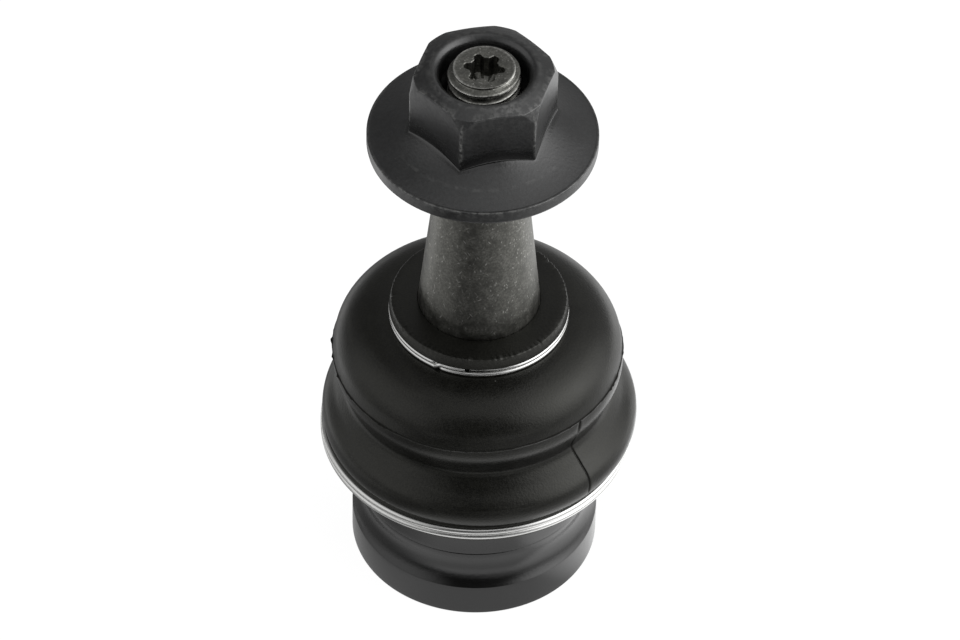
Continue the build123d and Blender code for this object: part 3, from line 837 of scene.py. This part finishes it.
def bootOutside():
    # from under the small ring's groove down to the bead's crease
    spots = [domePoint(share) for share in (0.93, 0.8, 0.65, 0.5, 0.35, 0.2)]
    dome = smoothLine(spots + [boot["upper"]], (1, -0.12), (0, -1), 8)
    creaseR, creaseZ = boot["crease"]
    lowerR, lowerZ = boot["lower"]
    fold = smoothLine(
        [boot["upper"], (creaseR + 0.35, creaseZ + 1.6), boot["crease"], (creaseR + 1.5, creaseZ - 2.5),
         (lowerR - 0.5, lowerZ + 2.3), boot["lower"]], (0, -1), (0, -1), 10)
    bead = smoothLine([boot["lower"], boot["beadCrease"]], (0, -1), (-1, -0.25), 8)
    return np.vstack([dome, fold[1:], bead[1:]])


def bootInside():
    wall = boot["wall"]
    lower, crease, upper = [(boot[name][0] - wall, boot[name][1] + lift)
                            for name, lift in (("lower", 0.8), ("crease", 0), ("upper", 0))]
    fold = smoothLine([lower, (lower[0] - 0.9, lower[1] + 2.1), (crease[0] + 0.9, crease[1] - 1.8), crease,
                       (crease[0] + 0.5, crease[1] + 2.2), upper], (0, 1), (0, 1), 4)
    spots = [domePoint(share, wall) for share in (0.25, 0.45, 0.65, 0.85)]
    return np.vstack([fold, smoothLine([upper] + spots, (0, 1), (-1, 0.12), 4)[1:]])


def ripple(rng, count, strength):
    # a closed random wave round the axis
    waves = [(rng.randint(2, count), rng.uniform(0, fullTurn), rng.uniform(0.3, 1.0)) for _ in range(7)]
    return lambda angle: strength * sum(
        size * math.sin(number * angle + shift) for number, shift, size in waves)


def lipSide(radius, height, angle):
    # the lip's cut side is paler than its moulded top
    inside = boot["smallTop"] - 0.1 < height < boot["lipTop"] - 0.12
    return 1.0 if inside and radius > boot["lipOuter"] - 0.3 else 0.0


def buildBoot():
    def stepAt(a, b):
        # closer rings where the parting line runs
        near = abs((a[1] + b[1]) / 2 - boot["flashHeight"]) < boot["flashTilt"] + 0.6
        return boot["flashStep"] if near else boot["ringStep"]

    outside, inside = splitLong(bootOutside(), stepAt), bootInside()
    lip = splitLong(softLine([
        (boot["stud"], boot["lipBase"], 0.2), (boot["stud"], boot["lipTop"], 0.12),
        (boot["lipOuter"], boot["lipTop"], 0.2),
        (boot["lipOuter"] + boot["lipFlare"], boot["smallTop"] + 0.05, 0.15),
        (boot["smallFloor"], boot["smallTop"], 0.1), (boot["smallFloor"], boot["smallBottom"], 0.1),
        (*outside[0], 0.0),
    ]), 0.8)
    foot = splitLong(softLine([
        (*outside[-1], 0.0), (boot["beadRadius"], boot["beadCrease"][1] - 0.25, 0.15),
        (boot["beadRadius"], boot["largeTop"], 0.12), (boot["largeFloor"], boot["largeTop"], 0.1),
        (boot["largeFloor"], boot["largeBottom"], 0.1), (boot["beadFoot"], boot["largeBottom"], 0.1),
        (boot["beadFoot"], boot["beadBottom"], 0.35), (boot["seatBore"], boot["beadBottom"], 0.2),
        (boot["seatBore"], boot["seatTop"], 0.1), (boot["snapBore"], boot["seatTop"], 0.1),
        (boot["snapBore"], boot["snapTop"], 0.1), (*inside[0], 0),
    ]), 0.9)
    line = np.vstack([lip, outside[1:], foot[1:], inside[1:]])
    outerStart, outerEnd = len(lip), len(lip) + len(outside) - 1

    seam = math.radians(boot["seamAzimuth"]) % fullTurn
    crowd = boot["seamSpokes"]
    close = [seam + math.radians(0.09) * (step - crowd / 2) for step in range(crowd)]
    angles = [angle for angle in evenAngles(boot["spokes"]) if abs(angle - seam) > math.radians(1.5)] + close
    angles = np.array(sorted(angles))

    rng = random.Random(7)
    wander, rag = ripple(rng, 9, 0.03), ripple(rng, 60, 0.1)

    def flashLine(angle):
        return boot["flashHeight"] + boot["flashTilt"] * math.cos(angle) + wander(angle)

    def partingShade(radius, height, angle):
        # painted shade just above the flash, on the outside of the dome
        if radius < boot["crease"][0]:
            return 0.0
        return 0.8 * bump(height, flashLine(angle) + boot["partingAbove"], boot["partingWidth"])

    swell = ripple(rng, 5, 0.018)
    nubs = [(rng.uniform(0, fullTurn), rng.uniform(0.004, 0.012), rng.uniform(0.06, 0.2))
            for _ in range(boot["flashNubs"])]
    for turn, width, size in ((187.0, 0.016, 0.17), (-4.0, 0.014, 0.14), (-149.0, 0.012, 0.15)):
        nubs.append((math.radians(turn), width, size))
    trim = ripple(rng, 130, 0.045)
    nicks = [(rng.uniform(0, fullTurn), rng.uniform(0.05, 0.22)) for _ in range(boot["lipNicks"])]
    profile = np.repeat(line[:, None, :], len(angles), axis=1)
    for spoke, angle in enumerate(angles):
        cut = 0.05 + trim(angle)
        for place, size in nicks:
            cut += size * bump(turnFrom(angle, place), 0, 0.02)
        for ring in range(outerStart):
            radius, height = line[ring]
            near = bump(math.hypot(radius - boot["lipOuter"], height - boot["lipTop"]), 0, 0.35)
            profile[ring, spoke] -= (0.6 * cut * near, cut * near)
        flash = boot["flashRise"] * max(0.35, 1 + 2.2 * rag(angle))
        for place, width, size in nubs:
            flash += size * bump(turnFrom(angle, place), 0, width)
        flashZ = flashLine(angle)
        for ring in range(outerStart, outerEnd):
            radius, height = line[ring]
            shift = swell(angle) * (1 if 29 < height < 52 else 0.3)
            shift += flash * bump(height, flashZ, boot["flashWidth"])
            shift -= 0.05 * bump(height, boot["creaseLine"], 0.6)
            if boot["seamFoot"] < height < flashZ:
                path = seam + math.radians(1.0) * math.sin((height - 30) * 0.42) - math.radians(0.9)
                away = turnFrom(angle, path) * radius
                depth = boot["seamDepth"] * min(1.0, (height - boot["seamFoot"]) / 1.5)
                shift -= depth * bump(away, 0, boot["seamWidth"])
                shift += 0.05 * bump(away, 0.45, 0.5)
            profile[ring, spoke, 0] += shift
            lean = boot["lean"] * math.cos(angle) * bump(height, boot["leanHeight"], boot["leanReach"])
            profile[ring, spoke, 0] += lean
    piece = spinMesh("dustBoot", profile, angles, loop=True)
    paintPoints(piece, "trimmed", lipSide)
    paintPoints(piece, "parting", partingShade)
    finishPiece(piece, None, "boot_rubber", bootRubber, "dust_boot")
    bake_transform(piece)


buildBoot()

print("wire rings")
largeRing = {"name": "largeWireRing", "node": "large_clamp_ring", "body": "boot", "radius": 26.2,
             "wire": 1.2, "height": 26.3, "startAngle": 95.0, "sweep": 700.0, "firstCross": 30.0}
smallRing = {"name": "smallWireRing", "node": "small_clamp_ring", "body": "boot_neck", "radius": 14.85,
             "wire": 0.85, "height": 53.95, "startAngle": -98.0, "sweep": 717.0, "firstCross": 18.5}


def makeWindTree():
    # two touching turns of wire that swap places at one crossing, the ends left a little apart
    tree, given, result = newGroup(
        "windRing", "GeometryNodeTree", ["Geometry"], Geometry="Geometry", Radius=0.02, Wire=0.001,
        Middle_Height=0.02, Start_Angle=0.0, Sweep=700.0, First_Cross=18.0, Cross_Width=2.2,
        Material="Material")
    spiral = addNode(tree, "GeometryNodeCurveSpiral", Resolution=360, Height=0.0,
                     Start_Radius=given["Radius"], End_Radius=given["Radius"],
                     Rotations=calc(tree, "DIVIDE", given["Sweep"], 360.0))
    along = times(tree, addNode(tree, "GeometryNodeSplineParameter").outputs["Factor"], given["Sweep"])
    level, push = 1.0, 0.0
    for turn, sign, shove in ((0.0, -1.0, 0.2), (360.0, 1.0, -0.6)):
        away = calc(tree, "SUBTRACT", along, calc(tree, "ADD", given["First Cross"], turn))
        share = calc(tree, "DIVIDE", away, given["Cross Width"])
        step = times(tree, ramp(tree, share, -1.0, 1.0), 2.0 * sign)
        hump = calc(tree, "EXPONENT", times(tree, share, share, -1.0))
        level = calc(tree, "ADD", level, step)
        push = calc(tree, "ADD", push, times(tree, hump, shove))
    height = calc(tree, "MULTIPLY_ADD", level, times(tree, given["Wire"], 0.49), given["Middle Height"])
    # the last stretch tucks in under the lip
    tuck = ramp(tree, calc(tree, "SUBTRACT", given["Sweep"], along), 36.0, 6.0)
    push = times(tree, calc(tree, "SUBTRACT", push, times(tree, tuck, 0.62)), given["Wire"])
    out = calc(tree, "ADD", 1.0, calc(tree, "DIVIDE", push, given["Radius"]))
    x, y, z = splitPlace(tree, addNode(tree, "GeometryNodeInputPosition"))
    spot = addNode(tree, "ShaderNodeCombineXYZ", X=times(tree, x, out), Y=times(tree, y, out), Z=height)
    raised = addNode(tree, "GeometryNodeSetPosition", Geometry=spiral, Position=spot)
    spin = addNode(tree, "ShaderNodeCombineXYZ", Z=given["Start Angle"])
    turned = addNode(tree, "GeometryNodeTransform", Geometry=raised, Rotation=spin)
    section = addNode(tree, "GeometryNodeCurvePrimitiveCircle", Resolution=20,
                      Radius=times(tree, given["Wire"], 0.5))
    tube = addNode(tree, "GeometryNodeCurveToMesh", Curve=turned, Profile_Curve=section, Fill_Caps=True)
    return endTree(tree, tube, given, result)


windTree = makeWindTree()
for ring in (largeRing, smallRing):
    piece = addObject(ring["name"], bpy.data.meshes.new(ring["name"]))
    applyTree(piece, windTree, {
        "Radius": ring["radius"] * mm, "Wire": ring["wire"] * mm, "Middle Height": ring["height"] * mm,
        "Start Angle": math.radians(ring["startAngle"]), "Sweep": ring["sweep"],
        "First Cross": ring["firstCross"], "Material": wireSteel,
    })
    finishPiece(piece, ring["body"], "ring_wire", None, ring["node"])

print("studio")
studio = {
    "elevation": 46.15, "roll": 1.34, "lens": 220.35, "aim": (0.0, 0.0, 0.04552),
    "aimInView": (-0.000345, -0.003927, -0.9988), "floorSize": 6.0, "floorGlow": 0.93, "horizon": 0.04,
    "floorColor": (0.78, 0.78, 0.78), "shadowColor": (0.14, 0.14, 0.14), "white": (1.0, 1.0, 1.0),
    # azimuth, elevation, level, and the cosines at which each glow starts and is full
    "glows": [
        (-8.0, 28.0, 1.8, 0.6, 0.95), (25.0, 60.0, 0.85, 0.84, 0.97), (53.0, 80.0, 0.58, 0.8, 0.975),
        (-90.0, 62.0, 0.55, 0.91, 0.99), (-165.0, 20.0, 0.75, 0.5, 0.98),
    ],
    # the lit pool's two radii, their levels, and what the lamps point at
    "poolNear": 0.034, "poolFar": 0.075, "poolLevel": 1.12, "poolEdge": 0.36, "lampTarget": (0, 0, 0.06),
}


def buildCamera():
    tilt, roll = math.radians(studio["elevation"]), math.radians(studio["roll"])
    lean = Matrix(((math.cos(roll), math.sin(roll), 0), (-math.sin(roll), math.cos(roll), 0), (0, 0, 1)))
    upright = ((1, 0, 0), (0, math.sin(tilt), -math.cos(tilt)), (0, math.cos(tilt), math.sin(tilt)))
    toWorld = Matrix([lean @ Vector(axis) for axis in upright])
    place = Vector(studio["aim"]) - toWorld @ Vector(studio["aimInView"])
    lensData = bpy.data.cameras.new("camera")
    lensData.lens = studio["lens"]
    lensData.sensor_width = 36.0
    lensData.clip_start, lensData.clip_end = 0.05, 50.0
    camera = addObject("camera", lensData)
    camera.matrix_world = Matrix.Translation(place) @ toWorld.to_4x4()
    bpy.context.scene.camera = camera


def floorPool(tree):
    # how bright the floor looks in the object's reflections: a lit pool round its foot
    x, y, z = splitPlace(tree, objectPlace(tree))
    away = fromAxis(tree, x, y)
    pool = ramp(tree, away, studio["poolNear"], studio["poolFar"], studio["poolLevel"], studio["poolEdge"])
    # a little shadow close to the foot, but not on its right
    shadow = most(tree, ramp(tree, away, 0.032, 0.046, 0.57, 1.0), ramp(tree, x, 0.01, 0.024, 0.0, 1.2))
    right = ramp(tree, x, 0.01, 0.16, 1.0, 2.2)
    left = rampFrom(tree, x, -0.048, 0.012, 0.036, 0.3, 1.0)
    beyond = rampFrom(tree, x, -0.1, 0.015, 0.05, 1.8, 1.0)
    behind = ramp(tree, y, 0.0, 0.03, 1.0, 1.7)
    front = rampFrom(tree, y, -0.115, 0.018, 0.04, 0.28, 1.0)
    far = ramp(tree, away, 0.25, 0.8, 1.0, 0.35)
    return times(tree, pool, shadow, far, right, left, beyond, behind, front)


def mixShader(tree, share, first, second):
    node = addNode(tree, "ShaderNodeMixShader")
    fillSockets(tree, node, (share, first, second))
    return node


def buildFloor():
    half = studio["floorSize"] / 2
    mesh = bpy.data.meshes.new("floor")
    corners = [(-half, -half, 0), (half, -half, 0), (half, half, 0), (-half, half, 0)]
    mesh.from_pydata(corners, [], [(0, 1, 2, 3)])
    material = bpy.data.materials.new("paleFloor")
    material.use_nodes = True
    tree = material.node_tree
    tree.nodes.clear()
    path = addNode(tree, "ShaderNodeLightPath").outputs
    plain = addNode(tree, "ShaderNodeBsdfDiffuse", Color=studio["floorColor"])
    pool = addNode(tree, "ShaderNodeEmission", Color=studio["white"], Strength=floorPool(tree))
    unseen = mixShader(tree, most(tree, path["Is Glossy Ray"], path["Is Transmission Ray"]), plain, pool)
    # to the camera it glows near white, over a dark coat that keeps the object's shadow
    bright = addNode(tree, "ShaderNodeAddShader")
    shaded = addNode(tree, "ShaderNodeBsdfDiffuse", Color=studio["shadowColor"])
    glow = addNode(tree, "ShaderNodeEmission", Color=studio["white"], Strength=studio["floorGlow"])
    fillSockets(tree, bright, (shaded, glow))
    above = mixShader(tree, path["Is Camera Ray"], unseen, bright)
    # from underneath the floor is clear, so the foot's lower face shows
    backfacing = addNode(tree, "ShaderNodeNewGeometry").outputs["Backfacing"]
    surface = mixShader(tree, backfacing, above, addNode(tree, "ShaderNodeBsdfTransparent"))
    addNode(tree, "ShaderNodeOutputMaterial", Surface=surface)
    mesh.materials.append(material)
    floor = addObject("floor", mesh)


def directionOf(azimuth, height):
    turn, rise = math.radians(azimuth), math.radians(height)
    return (math.cos(turn) * math.cos(rise), math.sin(turn) * math.cos(rise), math.sin(rise))


def buildWorld():
    world = bpy.data.worlds.new("studio")
    world.use_nodes = True
    bpy.context.scene.world = world
    tree = world.node_tree
    tree.nodes.clear()
    direction = addNode(tree, "ShaderNodeTexCoord").outputs["Generated"]
    x, y, z = splitPlace(tree, direction)
    behind = times(tree, ramp(tree, y, -0.05, 0.5), ramp(tree, x, -0.45, 0.4, 0.13, 0.36))
    level = calc(tree, "ADD", studio["horizon"], behind)
    for azimuth, height, brightness, start, full in studio["glows"]:
        facing = vectorCalc(tree, "DOT_PRODUCT", direction, directionOf(azimuth, height))
        level = most(tree, level, times(tree, ramp(tree, facing, start, full), brightness))
    path = addNode(tree, "ShaderNodeLightPath").outputs
    strength = mixValue(tree, most(tree, path["Is Camera Ray"], path["Is Transmission Ray"]), level, 1.0)
    background = addNode(tree, "ShaderNodeBackground", Color=studio["white"], Strength=strength)
    addNode(tree, "ShaderNodeOutputWorld", Surface=background)


def addSoftLight(name, place, side, power):
    light = bpy.data.lights.new(name, "AREA")
    light.size, light.energy = side, power
    lamp = addObject(name, light)
    lamp.location = place
    aim = Vector(studio["lampTarget"]) - Vector(place)
    lamp.rotation_euler = aim.to_track_quat("-Z", "Y").to_euler()
    return lamp


buildCamera()
buildFloor()
buildWorld()
addSoftLight("rightSoftbox", (0.9, -0.15, 0.5), 0.5, 0.7)
# a broad fill that brings the plain light up to level and stays out of the reflections
addSoftLight("frontFill", (-0.55, -0.75, 0.75), 1.0, 6.0).visible_glossy = False
bpy.context.scene.view_settings.view_transform = "Standard"

print("done")
